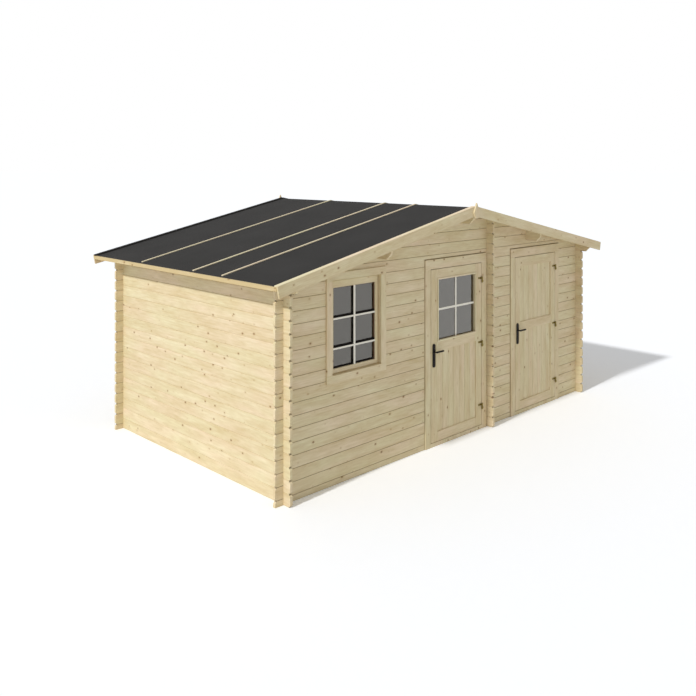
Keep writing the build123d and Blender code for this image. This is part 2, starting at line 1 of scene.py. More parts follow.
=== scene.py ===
from math import cos, pi, radians, sin

import bmesh
import bpy
from bpy.props import FloatProperty, FloatVectorProperty, PointerProperty
from mathutils import Matrix, Vector


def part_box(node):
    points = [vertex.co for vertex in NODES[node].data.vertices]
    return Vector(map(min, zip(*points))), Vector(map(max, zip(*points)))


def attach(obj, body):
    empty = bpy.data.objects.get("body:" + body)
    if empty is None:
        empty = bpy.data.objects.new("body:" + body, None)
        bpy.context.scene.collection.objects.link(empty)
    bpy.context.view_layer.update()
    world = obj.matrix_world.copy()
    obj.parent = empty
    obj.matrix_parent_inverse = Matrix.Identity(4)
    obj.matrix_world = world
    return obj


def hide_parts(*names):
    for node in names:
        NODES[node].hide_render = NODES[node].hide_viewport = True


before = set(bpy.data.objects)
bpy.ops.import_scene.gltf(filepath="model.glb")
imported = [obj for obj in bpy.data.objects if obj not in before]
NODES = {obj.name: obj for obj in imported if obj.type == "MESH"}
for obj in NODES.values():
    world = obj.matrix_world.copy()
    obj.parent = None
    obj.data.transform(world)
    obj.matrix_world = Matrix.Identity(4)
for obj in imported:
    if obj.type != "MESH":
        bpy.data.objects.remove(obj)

bl_info = {
    "name": "Log shed dressing",
    "version": (1, 0, 0),
    "blender": (4, 5, 0),
    "location": "3D View > Sidebar > Shed",
    "description": "Timber finishes, roof boarding, glazing bars and studio for a log garden shed",
    "category": "Object",
}

LEAF_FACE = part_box("left_door_leaf")[0][1]
LEFT_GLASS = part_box("left_door_glass")
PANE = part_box("window_glass")
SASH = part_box("window_sash")
LEFT_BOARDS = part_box("left_roof_boards")

# Sizes of the shed's pieces, in metres
WALL_HALF_W = 2.46      # half the width and half the depth over the walls' outer faces
WALL_HALF_D = 1.41
LOG_TIP = 0.072         # the joints of the log ends gape, painted deep in shade, from this far outside the walls
STILES = {"left": 0.115, "right": 0.100}    # width of the stiles beside each door's glass or panels
PANEL_BOARDS = 7        # upright boards in a door panel
ROOF_BOARD_T = 0.019
BOARD_GAP = 0.0004      # between two boards
OVERRUN = 0.05          # boards are made this much longer at both ends, and then trimmed
RIDGE_PLAY = 0.0002     # between the boards of one slope and the middle of the ridge
VERGE_W = 0.052
VERGE_T = 0.005
VERGE_SHORT = 0.006     # the verge strip ends this far inside the bargeboard's foot
SPACER_SHOWS = 0.017    # height of the black spacer that shows over a level bar
SPACER_T = 0.004
BAR_EDGE = 0.002        # bevel along a glazing bar
DOOR_BAR_T = 0.006
BEAD_OUT = 0.008        # the bead stands this far out of the leaf
BEAD_LAP = 0.003        # and covers this much of the glass
BEAD_EDGE = 0.004       # and has this bevel
NO_WIDTH = 1e-6         # edges shorter than this are closed up
PLAY = 0.0003           # between a new piece and what it lies on
EASE = 0.001            # bevel of the verge strip, and how far it stays inside the bargeboard

# How the spruce is drawn. Cells are counted per metre along the grain and across it.
ALONG = {"X": (0.0, 0.0, 0.0), "Y": (0.0, 0.0, pi / 2), "Z": (0.0, pi / 2, 0.0)}
FIBRE_CELLS = (4.0, 150.0, 150.0)       # fibres of 250 by 7 mm, drawn coarser than the real 0.5 mm
STREAK_CELLS = (9.0, 60.0, 60.0)        # streaks of 110 by 17 mm, drawn coarser than the real 3 mm
PATCH_CELLS = (2.5, 14.0, 14.0)         # patches of 400 by 70 mm
BLUSH_CELLS = (1.3, 5.0, 5.0)           # reddish zones of 770 by 200 mm
RING_STRETCH = (0.07, 1.0, 1.0)         # a trunk's rings, cut lengthwise
KNOT_STRETCH = (0.7, 1.0, 1.0)          # knots are a little longer along the grain
WAVE_PERIOD = 0.314                     # length of one ring of a wave texture at scale 1
TRUNK_SHIFT = (9.0, 0.3, 0.3)           # how far apart two boards may lie in their trunks
RAIL_SHIFT = (3.0, 0.5, 0.7)            # from the wood of the stiles to that of the rails
FIBRE_SHARE, STREAK_SHARE, PATCH_SHARE = 0.3, 0.75, 1.0
MEAN_SHARE = 0.72                       # what all shares of late wood add up to on average
KNOT_LUCK = (0.5, 1.0)                  # over this range of chance a knot's radius grows to the largest
KNOT_NONE = -0.006                      # from this one, and while it is below zero there is no knot
# From where to where, seen from a knot's edge, its heart, halo and swirl grow, and to how much
KNOT_BANDS = ((0.001, -0.002, 0.75), (0.012, 0.0, 0.4), (0.03, 0.0, 0.012))
BLUSH_RANGE = (0.35, 0.65)              # noise from which, and up to which, the wood turns reddish
SEAM_REACH = 0.0045                     # how far the dust and painted shade of a joint reach up and down
END_GAPE = (0.011, 0.004, 0.75)         # painted shade in the gaping joints at log ends, as reach, full depth and share

# How the other finishes are drawn, in metres
FELT_GRIT = 0.006                       # drawn coarser than the real 1 mm, or it would not show
FELT_STAIN = 1 / 2.2
GRIT_SHARE, STAIN_SHARE = 0.7, 0.3
FELT_LIGHT, FELT_DARK = 1.45, 0.62      # the grains' tones beside the felt's own
FOIL_CLOUD = 1 / 40                     # soft clouds of 25 mm in the foil of the bars
WEAR_CLOUD = 1 / 90                     # of 11 mm in the finish of the metal fittings
SEAL_CLOUD = 1 / 60                     # and of 17 mm in the rubber and in the painted flank shade

# Stage
FLOOR_RADIUS = 400.0
FLOOR_COLOUR = (0.90, 0.92, 0.94, 1.0)
FLOOR_SEEN = (1.11, 1.13, 1.16, 1.0)    # as the camera sees it, so that the lit floor is white
SUN_ASIDE = 0.052                       # how far the sun's ray turns into the front
SUN_ANGLE = radians(3.0)
CAMERA_PLACE = (-6.785, -6.650, 2.924)
CAMERA_SHIFT = (-0.0047, -0.2619)
CAMERA_REACH = 1000.0                   # far enough to see the floor's edge


def linear(hex_colour):
    """An sRGB hex colour as the linear RGBA that shaders use."""
    channels = [int(hex_colour[i:i + 2], 16) / 255 for i in (1, 3, 5)]
    return tuple(c / 12.92 if c <= 0.04045 else ((c + 0.055) / 1.055) ** 2.4 for c in channels) + (1.0,)


def add(tree, kind, inputs=None, **settings):
    """Adds a node with its settings, and fills its inputs with values or links."""
    node = tree.nodes.new(kind)
    for name, value in settings.items():
        setattr(node, name, value)
    for key, value in (inputs or {}).items():
        if isinstance(value, bpy.types.NodeSocket):
            tree.links.new(value, node.inputs[key])
        else:
            node.inputs[key].default_value = value
    return node


def new_material(name):
    """An empty node material with its output, as (material, node tree, output)."""
    material = bpy.data.materials.new(name)
    material.use_nodes = True
    tree = material.node_tree
    tree.nodes.clear()
    return material, tree, add(tree, "ShaderNodeOutputMaterial")


class ShedTimber(bpy.types.PropertyGroup):
    """Sizes and tones of the wood."""

    log_cover: FloatProperty(name="Log cover", description="Height of one log from seam to seam",
                             default=0.114, unit="LENGTH")
    ring_gap: FloatProperty(name="Growth rings",
                            description="Width of a growth ring, drawn wider than the real 4 mm",
                            default=0.015, unit="LENGTH")
    ring_share: FloatProperty(name="Ring contrast", description="How far the rings darken the wood",
                              default=0.1)
    board_share: FloatProperty(name="Board contrast", description="How far boards differ in tone",
                               default=0.16)
    knot_size: FloatProperty(name="Knot", description="Radius of the largest knots",
                             default=0.0084, unit="LENGTH")
    knot_gap: FloatProperty(name="Knot spacing", description="Usual distance between knots",
                            default=0.118, unit="LENGTH")
    light: FloatVectorProperty(name="Early wood", description="Pale wood grown in spring", subtype="COLOR",
                               size=4, min=0, max=1, default=linear("#E9DFBA"))
    blush: FloatVectorProperty(name="Pink patches", description="Pale wood where resin reddens it",
                               subtype="COLOR", size=4, min=0, max=1, default=linear("#EDDABC"))
    dark: FloatVectorProperty(name="Late wood", description="Darker wood grown in summer", subtype="COLOR",
                              size=4, min=0, max=1, default=linear("#CDB788"))
    knot: FloatVectorProperty(name="Knots", description="Heart of a knot", subtype="COLOR",
                              size=4, min=0, max=1, default=linear("#7A5636"))
    ring: FloatVectorProperty(name="Knot rings", description="Reddish wood round a knot", subtype="COLOR",
                              size=4, min=0, max=1, default=linear("#B08A55"))
    seam: FloatVectorProperty(name="Seams", description="Dust and painted shade in the joint of two logs", subtype="COLOR",
                              size=4, min=0, max=1, default=linear("#8A7650"))
    shade: FloatVectorProperty(name="Gaps", description="Painted shade deep between two log ends", subtype="COLOR",
                               size=4, min=0, max=1, default=linear("#554632"))


class ShedRoof(bpy.types.PropertyGroup):
    """Roof boarding and felt."""

    pitch: FloatProperty(name="Pitch", description="Slope of the roof",
                         default=radians(11.8), unit="ROTATION")
    cover: FloatProperty(name="Board cover", description="Width of a roof or floor board",
                         default=0.0882, unit="LENGTH")
    joint: FloatProperty(name="Joint", description="Depth of the V between boards",
                         default=0.003, unit="LENGTH")
    felt: FloatVectorProperty(name="Felt", description="Mineral roofing felt", subtype="COLOR",
                              size=4, min=0, max=1, default=linear("#2D2C2B"))


class ShedGlazing(bpy.types.PropertyGroup):
    """Bars of the window and of the glazed door."""

    bar: FloatProperty(name="Bar", description="Width of an upright glazing bar",
                       default=0.021, unit="LENGTH")
    level_bar: FloatProperty(name="Level bar", description="Height of the window's level bars",
                             default=0.0165, unit="LENGTH")
    bar_depth: FloatProperty(name="Bar depth", description="Depth of the wooden part of a bar",
                             default=0.011, unit="LENGTH")
    upper_bar: FloatProperty(name="Upper bar",
                             description="Height of the window's upper bar above the ground",
                             default=1.514, unit="LENGTH")
    lower_bar: FloatProperty(name="Lower bar",
                             description="Height of the window's lower bar above the ground",
                             default=1.238, unit="LENGTH")
    bead: FloatProperty(name="Bead", description="Width of the bevelled bead round the door's glass",
                        default=0.018, unit="LENGTH")
    glass: FloatVectorProperty(name="Glass", description="Tint of the panes", subtype="COLOR",
                               size=4, min=0, max=1, default=linear("#6E6B66"))


class ShedStage(bpy.types.PropertyGroup):
    """Camera, sun and floor."""

    lens: FloatProperty(name="Lens", description="Focal length in millimetres", default=40.67)
    heading: FloatProperty(name="Heading",
                           description="Direction of view, clockwise from straight at the front",
                           default=radians(44.47), unit="ROTATION")
    sun_height: FloatProperty(name="Sun height", description="Angle of the sun above the horizon",
                              default=radians(38.3), unit="ROTATION")
    sun_strength: FloatProperty(name="Sun", description="Strength of the sun", default=2.09)
    sky_strength: FloatProperty(name="Sky", description="Strength of the plain light from all sides",
                                default=0.485)


def lie_of_grain(tree, place, raw, turn, seed, rails):
    """Coordinates with X along the grain. In the rails the grain runs level instead."""
    inputs = {"Vector": place, "Rotation": turn, "Location": (seed, 0, 0)}
    lie = add(tree, "ShaderNodeMapping", inputs).outputs[0]
    if not rails:
        return lie
    axis, middle, half, inside = rails
    here = add(tree, "ShaderNodeMath", {0: raw[axis], 1: middle, 2: half}, operation="COMPARE").outputs[0]
    if not inside:
        here = add(tree, "ShaderNodeMath", {0: 1.0, 1: here}, operation="SUBTRACT").outputs[0]
    shift = (seed + RAIL_SHIFT[0], RAIL_SHIFT[1], RAIL_SHIFT[2])
    aside = add(tree, "ShaderNodeVectorMath", {0: place, 1: shift}, operation="ADD").outputs[0]
    return add(tree, "ShaderNodeMix", {0: here, 4: lie, 5: aside}, data_type="VECTOR").outputs[1]


def knots(tree, trunk, side):
    """Knots spread over the wood: the share of their hearts and halos, and how far the grain swirls."""
    timber = bpy.context.scene.shed_timber
    split = add(tree, "ShaderNodeSeparateXYZ", {0: trunk}).outputs
    flat = add(tree, "ShaderNodeCombineXYZ", {"X": split["X"], "Y": split[side]}).outputs[0]
    flat = add(tree, "ShaderNodeVectorMath", {0: flat, 1: KNOT_STRETCH}, operation="MULTIPLY").outputs[0]
    cells = add(tree, "ShaderNodeTexVoronoi", {"Vector": flat, "Scale": 1 / timber.knot_gap},
                voronoi_dimensions="2D").outputs
    away = add(tree, "ShaderNodeMath", {0: cells["Distance"], 1: timber.knot_gap},
               operation="MULTIPLY").outputs[0]
    luck = add(tree, "ShaderNodeSeparateColor", {0: cells["Color"]}).outputs[0]
    radius = add(tree, "ShaderNodeMapRange",
                 {"Value": luck, "From Min": KNOT_LUCK[0], "From Max": KNOT_LUCK[1],
                  "To Min": KNOT_NONE, "To Max": timber.knot_size}).outputs[0]
    edge = add(tree, "ShaderNodeMath", {0: away, 1: radius}, operation="SUBTRACT").outputs[0]
    return [add(tree, "ShaderNodeMapRange",
                {"Value": edge, "From Min": outer, "From Max": inner, "To Max": most}).outputs[0]
            for outer, inner, most in KNOT_BANDS]


def darkened_seams(tree, colour, across, cover, seam, raw, ends):
    """The colour with dust and painted shade in the joints between the boards, painted deeper in shade where
    they gape beyond the reach of ends.
    """
    timber = bpy.context.scene.shed_timber
    gap = add(tree, "ShaderNodeMath", {0: across, 1: cover / 2}, operation="PINGPONG").outputs[0]
    # Dust and painted shade darken the wood within SEAM_REACH of each joint.
    dust_and_shade = add(tree, "ShaderNodeMapRange",
               {"Value": gap, "From Min": SEAM_REACH, "From Max": 0.0, "To Max": seam}).outputs[0]
    colour = add(tree, "ShaderNodeMix", {0: dust_and_shade, 6: colour, 7: timber.seam}, data_type="RGBA").outputs[2]
    if not ends:
        return colour
    axis, middle, reach = ends
    # Beyond the walls the joints between log ends gape, and painted shade darkens them more deeply.
    kept = add(tree, "ShaderNodeMath", {0: raw[axis], 1: middle, 2: reach}, operation="COMPARE").outputs[0]
    beyond = add(tree, "ShaderNodeMath", {0: 1.0, 1: kept}, operation="SUBTRACT").outputs[0]
    gape = add(tree, "ShaderNodeMapRange", {"Value": gap, "From Min": END_GAPE[0], "From Max": END_GAPE[1],
                                            "To Max": END_GAPE[2]}).outputs[0]
    deep = add(tree, "ShaderNodeMath", {0: gape, 1: beyond}, operation="MULTIPLY").outputs[0]
    return add(tree, "ShaderNodeMix", {0: deep, 6: colour, 7: timber.shade}, data_type="RGBA").outputs[2]


def spruce(name, grain, boards=None, seed=0.0, tone=0.0, slope=0.0, seam=0.0, ends=None, rails=None):
    """Planed spruce: pale, close and nearly matt, with soft rings, faint patches and small brown knots.

    The grain runs along one axis, or down a slope. boards is (axis, start, cover): each board across that
    axis is cut from another trunk. seam sets how far dust and painted shade darken the joints between them,
    and ends is (axis, middle, reach) beyond which the joints gape and are painted deeper in shade. rails is
    (axis, middle, half, inside): there the grain runs level, across the upright pieces. tone darkens the
    wood, and seed picks the place in the trunk.
    """
    timber = bpy.context.scene.shed_timber
    material, tree, output = new_material(name)
    place = add(tree, "ShaderNodeTexCoord").outputs["Object"]
    raw = add(tree, "ShaderNodeSeparateXYZ", {0: place}).outputs
    turn = (0.0, slope, 0.0) if slope else ALONG[grain]
    lie = lie_of_grain(tree, place, raw, turn, seed, rails)
    chance = add(tree, "ShaderNodeTexWhiteNoise", {"W": seed}, noise_dimensions="1D")
    if boards:
        axis, start, cover = boards
        across = add(tree, "ShaderNodeMath", {0: raw[axis], 1: start}, operation="SUBTRACT").outputs[0]
        level = add(tree, "ShaderNodeMath", {0: across, 1: cover}, operation="DIVIDE").outputs[0]
        index = add(tree, "ShaderNodeMath", {0: level}, operation="FLOOR").outputs[0]
        number = add(tree, "ShaderNodeMath", {0: index, 1: seed}, operation="ADD").outputs[0]
        tree.links.new(number, chance.inputs["W"])
    cut = add(tree, "ShaderNodeVectorMath", {0: chance.outputs["Color"], 1: TRUNK_SHIFT},
              operation="MULTIPLY").outputs[0]
    trunk = add(tree, "ShaderNodeVectorMath", {0: lie, 1: cut}, operation="ADD").outputs[0]
    heart, halo, swirl = knots(tree, trunk, "Y" if slope and boards else "Z")
    bulge = add(tree, "ShaderNodeCombineXYZ", {"Y": swirl, "Z": swirl}).outputs[0]
    bent = add(tree, "ShaderNodeVectorMath", {0: trunk, 1: bulge}, operation="ADD").outputs[0]

    stretch = add(tree, "ShaderNodeVectorMath", {0: bent, 1: RING_STRETCH}, operation="MULTIPLY").outputs[0]
    rings = add(tree, "ShaderNodeTexWave",
                {"Vector": stretch, "Scale": WAVE_PERIOD / timber.ring_gap, "Distortion": 4.0,
                 "Detail": 2.0, "Detail Scale": 0.6},
                wave_type="RINGS", rings_direction="X", wave_profile="SIN").outputs["Fac"]
    noise = {}
    for kind, lay, cells, detail in (("fibre", bent, FIBRE_CELLS, 3.0), ("streak", trunk, STREAK_CELLS, 2.0),
                                     ("patch", trunk, PATCH_CELLS, 2.0), ("blush", trunk, BLUSH_CELLS, 1.0)):
        spread = add(tree, "ShaderNodeVectorMath", {0: lay, 1: cells}, operation="MULTIPLY").outputs[0]
        noise[kind] = add(tree, "ShaderNodeTexNoise",
                          {"Vector": spread, "Scale": 1.0, "Detail": detail}).outputs[0]
    share = tone - MEAN_SHARE
    for part, weight in ((rings, timber.ring_share), (noise["fibre"], FIBRE_SHARE),
                         (noise["streak"], STREAK_SHARE), (noise["patch"], PATCH_SHARE),
                         (chance.outputs["Value"], timber.board_share)):
        share = add(tree, "ShaderNodeMath", {0: part, 1: weight, 2: share},
                    operation="MULTIPLY_ADD").outputs[0]

    blush = add(tree, "ShaderNodeMapRange", {"Value": noise["blush"], "From Min": BLUSH_RANGE[0],
                                             "From Max": BLUSH_RANGE[1]}).outputs[0]
    colour = add(tree, "ShaderNodeMix", {0: blush, 6: timber.light, 7: timber.blush},
                 data_type="RGBA").outputs[2]
    for factor, over in ((share, timber.dark), (halo, timber.ring), (heart, timber.knot)):
        colour = add(tree, "ShaderNodeMix", {0: factor, 6: colour, 7: over}, data_type="RGBA").outputs[2]
    if seam:
        colour = darkened_seams(tree, colour, across, cover, seam, raw, ends)
    bump = add(tree, "ShaderNodeBump", {"Height": noise["fibre"], "Strength": 0.12, "Distance": 0.002})
    shader = add(tree, "ShaderNodeBsdfPrincipled",
                 {"Base Color": colour, "Roughness": 0.62, "IOR": 1.5, "Specular IOR Level": 0.3,
                  "Normal": bump.outputs[0]})
    tree.links.new(shader.outputs[0], output.inputs["Surface"])
    return material


def roofing_felt():
    """Mineral roofing felt: dark grey grit pressed into bitumen, matt and even, with faint paler grains."""
    roof = bpy.context.scene.shed_roof
    material, tree, output = new_material("Roofing felt, mineral surfaced")
    place = add(tree, "ShaderNodeTexCoord").outputs["Object"]
    grit = add(tree, "ShaderNodeTexNoise",
               {"Vector": place, "Scale": 1 / FELT_GRIT, "Detail": 2.0, "Roughness": 0.7})
    stain = add(tree, "ShaderNodeTexNoise", {"Vector": place, "Scale": 1 / FELT_STAIN, "Detail": 3.0})
    share = add(tree, "ShaderNodeMath", {0: grit.outputs[0], 1: GRIT_SHARE}, operation="MULTIPLY")
    share = add(tree, "ShaderNodeMath", {0: stain.outputs[0], 1: STAIN_SHARE, 2: share.outputs[0]},
                operation="MULTIPLY_ADD")
    light = tuple(c * FELT_LIGHT for c in roof.felt[:3]) + (1.0,)
    dark = tuple(c * FELT_DARK for c in roof.felt[:3]) + (1.0,)
    tone = add(tree, "ShaderNodeMapRange", {"Value": share.outputs[0], "From Min": 0.3, "From Max": 0.7})
    colour = add(tree, "ShaderNodeMix", {0: tone.outputs[0], 6: dark, 7: light}, data_type="RGBA")
    bump = add(tree, "ShaderNodeBump", {"Height": grit.outputs[0], "Strength": 0.5, "Distance": 0.001})
    shader = add(tree, "ShaderNodeBsdfPrincipled",
                 {"Base Color": colour.outputs[2], "Roughness": 0.92, "Specular IOR Level": 0.2,
                  "Normal": bump.outputs[0]})
    tree.links.new(shader.outputs[0], output.inputs["Surface"])
    return material


def double_glazing(name, ior):
    """Float glass in two panes: flat, smooth and a little grey.

    One pane stands for both, so its IOR is raised until it reflects as their four surfaces do.
    """
    material, tree, output = new_material(name)
    shader = add(tree, "ShaderNodeBsdfPrincipled",
                 {"Base Color": bpy.context.scene.shed_glazing.glass, "Roughness": 0.03, "IOR": ior,
                  "Transmission Weight": 1.0, "Specular Tint": linear("#FFFAF1")})
    tree.links.new(shader.outputs[0], output.inputs["Surface"])
    return material


def white_foil():
    """Foil-covered glazing bars: smooth and nearly white, with a soft sheen."""
    material, tree, output = new_material("Glazing bars, pale foil")
    place = add(tree, "ShaderNodeTexCoord").outputs["Object"]
    cloud = add(tree, "ShaderNodeTexNoise", {"Vector": place, "Scale": 1 / FOIL_CLOUD})
    colour = add(tree, "ShaderNodeMix", {0: cloud.outputs[0], 6: linear("#F1EBDA"), 7: linear("#FAF6EB")},
                 data_type="RGBA")
    shader = add(tree, "ShaderNodeBsdfPrincipled", {"Base Color": colour.outputs[2], "Roughness": 0.45})
    tree.links.new(shader.outputs[0], output.inputs["Surface"])
    return material


def worn_metal(name, hex_colour, metallic, roughness, specular=0.5):
    """Lacquered or plated metal of a small fitting: smooth, its sheen slightly uneven from handling."""
    material, tree, output = new_material(name)
    place = add(tree, "ShaderNodeTexCoord").outputs["Object"]
    cloud = add(tree, "ShaderNodeTexNoise", {"Vector": place, "Scale": 1 / WEAR_CLOUD, "Detail": 3.0})
    rough = add(tree, "ShaderNodeMapRange", {"Value": cloud.outputs[0], "From Min": 0.3, "From Max": 0.7,
                                             "To Min": roughness - 0.06, "To Max": roughness + 0.1})
    bump = add(tree, "ShaderNodeBump", {"Height": cloud.outputs[0], "Strength": 0.05, "Distance": 0.001})
    shader = add(tree, "ShaderNodeBsdfPrincipled",
                 {"Base Color": linear(hex_colour), "Metallic": metallic, "Roughness": rough.outputs[0],
                  "Specular IOR Level": specular, "Normal": bump.outputs[0]})
    tree.links.new(shader.outputs[0], output.inputs["Surface"])
    return material


def rubber_and_flank_shade(name, dark, light):
    """Matt, dark and even: moulded rubber for the glazing spacers, and painted shade on the sash's flanks
    beside the glass.
    """
    material, tree, output = new_material(name)
    place = add(tree, "ShaderNodeTexCoord").outputs["Object"]
    cloud = add(tree, "ShaderNodeTexNoise", {"Vector": place, "Scale": 1 / SEAL_CLOUD})
    colour = add(tree, "ShaderNodeMix", {0: cloud.outputs[0], 6: linear(dark), 7: linear(light)},
                 data_type="RGBA")
    shader = add(tree, "ShaderNodeBsdfPrincipled",
                 {"Base Color": colour.outputs[2], "Roughness": 0.85, "Specular IOR Level": 0.15})
    tree.links.new(shader.outputs[0], output.inputs["Surface"])
    return material


def paint(node, material):
    """Gives a CAD node a better material."""
    part = NODES[node]
    if part.material_slots:
        for place in part.material_slots:
            place.material = material
    else:
        part.data.materials.append(material)


def piece(name, mesh, material, body):
    """Makes a finished bmesh an object of the shed that moves with a body."""
    data = bpy.data.meshes.new(name)
    mesh.to_mesh(data)
    mesh.free()
    data.materials.append(material)
    thing = bpy.data.objects.new(name, data)
    bpy.context.scene.collection.objects.link(thing)
    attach(thing, body)
    return thing


def bar(mesh, low, high, bevel=0.0):
    """Adds a bar between two corners, its edges eased."""
    low, high = Vector(low), Vector(high)
    size = high - low
    place = Matrix.Translation((low + high) / 2) @ Matrix.Diagonal(size).to_4x4()
    made = bmesh.ops.create_cube(mesh, size=1.0, matrix=place)["verts"]
    if bevel:
        edges = list(dict.fromkeys(e for v in made for e in v.link_edges))
        bmesh.ops.bevel(mesh, geom=edges, offset=bevel, affect="EDGES", segments=1,
                        profile=0.5, material=-1)


def boarding(length, count, cover, thick, joint):
    """A row of boards along X, side by side along Y, with a V at each joint on both faces."""
    mesh = bmesh.new()
    for i in range(count):
        place = Matrix.Translation((length / 2, (i + 0.5) * cover, thick / 2))
        place = place @ Matrix.Diagonal((length, cover - BOARD_GAP, thick, 1.0))
        made = bmesh.ops.create_cube(mesh, size=1.0, matrix=place)["verts"]
        edges = [e for e in dict.fromkeys(e for v in made for e in v.link_edges)
                 if abs(e.verts[0].co.x - e.verts[1].co.x) > length / 2]
        bmesh.ops.bevel(mesh, geom=edges, offset=joint, affect="EDGES", segments=1,
                        profile=0.5, material=-1)
    return mesh


def trimmed(mesh, place, way):
    """Cuts off all that lies past a plane across X, and closes the cut."""
    geometry = mesh.verts[:] + mesh.edges[:] + mesh.faces[:]
    cut = bmesh.ops.bisect_plane(mesh, geom=geometry, plane_co=(place, 0, 0), plane_no=(way, 0, 0),
                                 clear_outer=True)
    rim = [e for e in cut["geom_cut"] if isinstance(e, bmesh.types.BMEdge)]
    bmesh.ops.holes_fill(mesh, edges=rim)


class SHED_OT_finish_logs(bpy.types.Operator):
    """Gives the log walls, gables and purlins their spruce"""

    bl_idname = "shed.finish_logs"
    bl_label = "Finish Logs"

    def execute(self, context):
        cover = context.scene.shed_timber.log_cover
        across = ("X", 0.0, WALL_HALF_W + LOG_TIP)
        along = ("Y", 0.0, WALL_HALF_D + LOG_TIP)
        rows = ("Z", 0.0, cover)
        gable_rows = ("Z", cover / 2, cover)
        # The painted shade in the log joints is set weak on the sunlit side walls and partition, and strong
        # on the shaded front and rear.
        side = spruce("Spruce wall logs, planed, side", "Y", rows, seed=3.0, seam=0.12, ends=along)
        middle = spruce("Spruce wall logs, planed, partition", "Y", rows, seed=17.0, seam=0.2, ends=along)
        gable = spruce("Spruce wall logs, planed, gable", "X", gable_rows, seed=8.0, seam=0.75, ends=across)
        rear = spruce("Spruce wall logs, planed, rear", "X", gable_rows, seed=29.0, seam=0.75, ends=across)
        for node in ("left_wall", "right_wall"):
            paint(node, side)
        paint("partition_wall", middle)
        for node in ("front_wall_left", "front_wall_middle", "front_wall_right", "front_gable"):
            paint(node, gable)
        for node in ("back_wall", "back_gable"):
            paint(node, rear)
        beam = spruce("Spruce purlins, planed", "Y", seed=41.0)
        for node in ("ridge_purlin", "left_purlin", "right_purlin"):
            paint(node, beam)
        return {"FINISHED"}


class SHED_OT_finish_joinery(bpy.types.Operator):
    """Gives the frames, doors, trims and floor bearers their spruce"""

    bl_idname = "shed.finish_joinery"
    bl_label = "Finish Joinery"

    def execute(self, context):
        pitch = context.scene.shed_roof.pitch
        lengthwise = spruce("Spruce strips, front to back", "Y", seed=7.0, tone=0.6)
        for side, way in (("left", 1), ("right", -1)):
            verge = spruce(f"Spruce bargeboards, {side} slope", "X", seed=9.0 + way, slope=way * pitch)
            batten = spruce(f"Spruce roof battens, {side} slope", "X", seed=13.0 + way,
                            slope=way * pitch, tone=-0.9)
            for end in ("front", "back"):
                paint(f"{end}_{side}_bargeboard", verge)
            paint(f"{side}_roof_battens", batten)
            paint(f"{side}_eave_strip", lengthwise)
            low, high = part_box(f"{side}_door_leaf")
            middle, half = (low[0] + high[0]) / 2, (high[0] - low[0]) / 2
            stile = STILES[side]
            leaf = spruce(f"Spruce door leaf, {side}", "Z", seed=4.0 + way,
                          rails=("X", middle, half - stile, True))
            panel = f"{side}_door_panel" + ("s" if side == "right" else "")
            edge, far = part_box(panel)[0][0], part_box(panel)[1][0]
            cover = (far - edge) / PANEL_BOARDS
            boards = spruce(f"Spruce door panel, {side}", "Z", ("X", edge, cover), seed=31.0 + way, seam=0.25)
            frame_wood = spruce(f"Spruce door frame, {side}", "Z", seed=51.0 + way,
                                rails=("Z", 0.0, high[2], False))
            paint(f"{side}_door_leaf", leaf)
            paint(panel, boards)
            paint(f"{side}_door_frame", frame_wood)
        low, high = SASH
        middle, half = (low[2] + high[2]) / 2, (high[2] - low[2]) / 2
        casing = spruce("Spruce window casing", "Z", seed=61.0, rails=("Z", middle, half, False))
        lining = spruce("Spruce window lining", "Z", seed=62.0, rails=("Z", middle, half, False))
        middle, half = (PANE[0][2] + PANE[1][2]) / 2, (PANE[1][2] - PANE[0][2]) / 2
        sash = spruce("Spruce window sash", "Z", seed=63.0, rails=("Z", middle, half, False))
        upright = spruce("Spruce finials, upright grain", "Z", seed=65.0)
        level = spruce("Spruce bearers, sawn", "X", seed=66.0, tone=0.1)
        for node, wood in (("window_casing", casing), ("window_lining", lining), ("window_sash", sash),
                           ("front_finial", upright), ("back_finial", upright), ("floor_bearers", level)):
            paint(node, wood)
        return {"FINISHED"}


class SHED_OT_finish_roofing(bpy.types.Operator):
    """Gives the felt its grit"""

    bl_idname = "shed.finish_roofing"
    bl_label = "Finish Roofing"

    def execute(self, context):
        felt = roofing_felt()
        for side in ("left", "right"):
            paint(f"{side}_roofing_felt", felt)
        return {"FINISHED"}


class SHED_OT_finish_fittings(bpy.types.Operator):
    """Gives the glass, handles and hinges their finishes"""

    bl_idname = "shed.finish_fittings"
    bl_label = "Finish Fittings"

    def execute(self, context):
        # Cast handle furniture under satin black lacquer.
        black = worn_metal("Handle furniture, black lacquered", "#17100C", 0.0, 0.55, 0.2)
        # Zinc-plated steel hinges, passivated to a dull olive brass.
        olive = worn_metal("Hinge steel, yellow passivated", "#8A7A45", 0.9, 0.42)
        # Each IOR stands for two panes, and is matched to how bright they look.
        paint("window_glass", double_glazing("Float glass, window", 2.3))
        paint("left_door_glass", double_glazing("Float glass, door", 2.6))
        for side in ("left", "right"):
            paint(f"{side}_door_handle_plates", black)
            paint(f"{side}_door_levers", black)
            paint(f"{side}_door_hinge_sleeves", olive)
            paint(f"{side}_door_hinge_pins", olive)
        return {"FINISHED"}


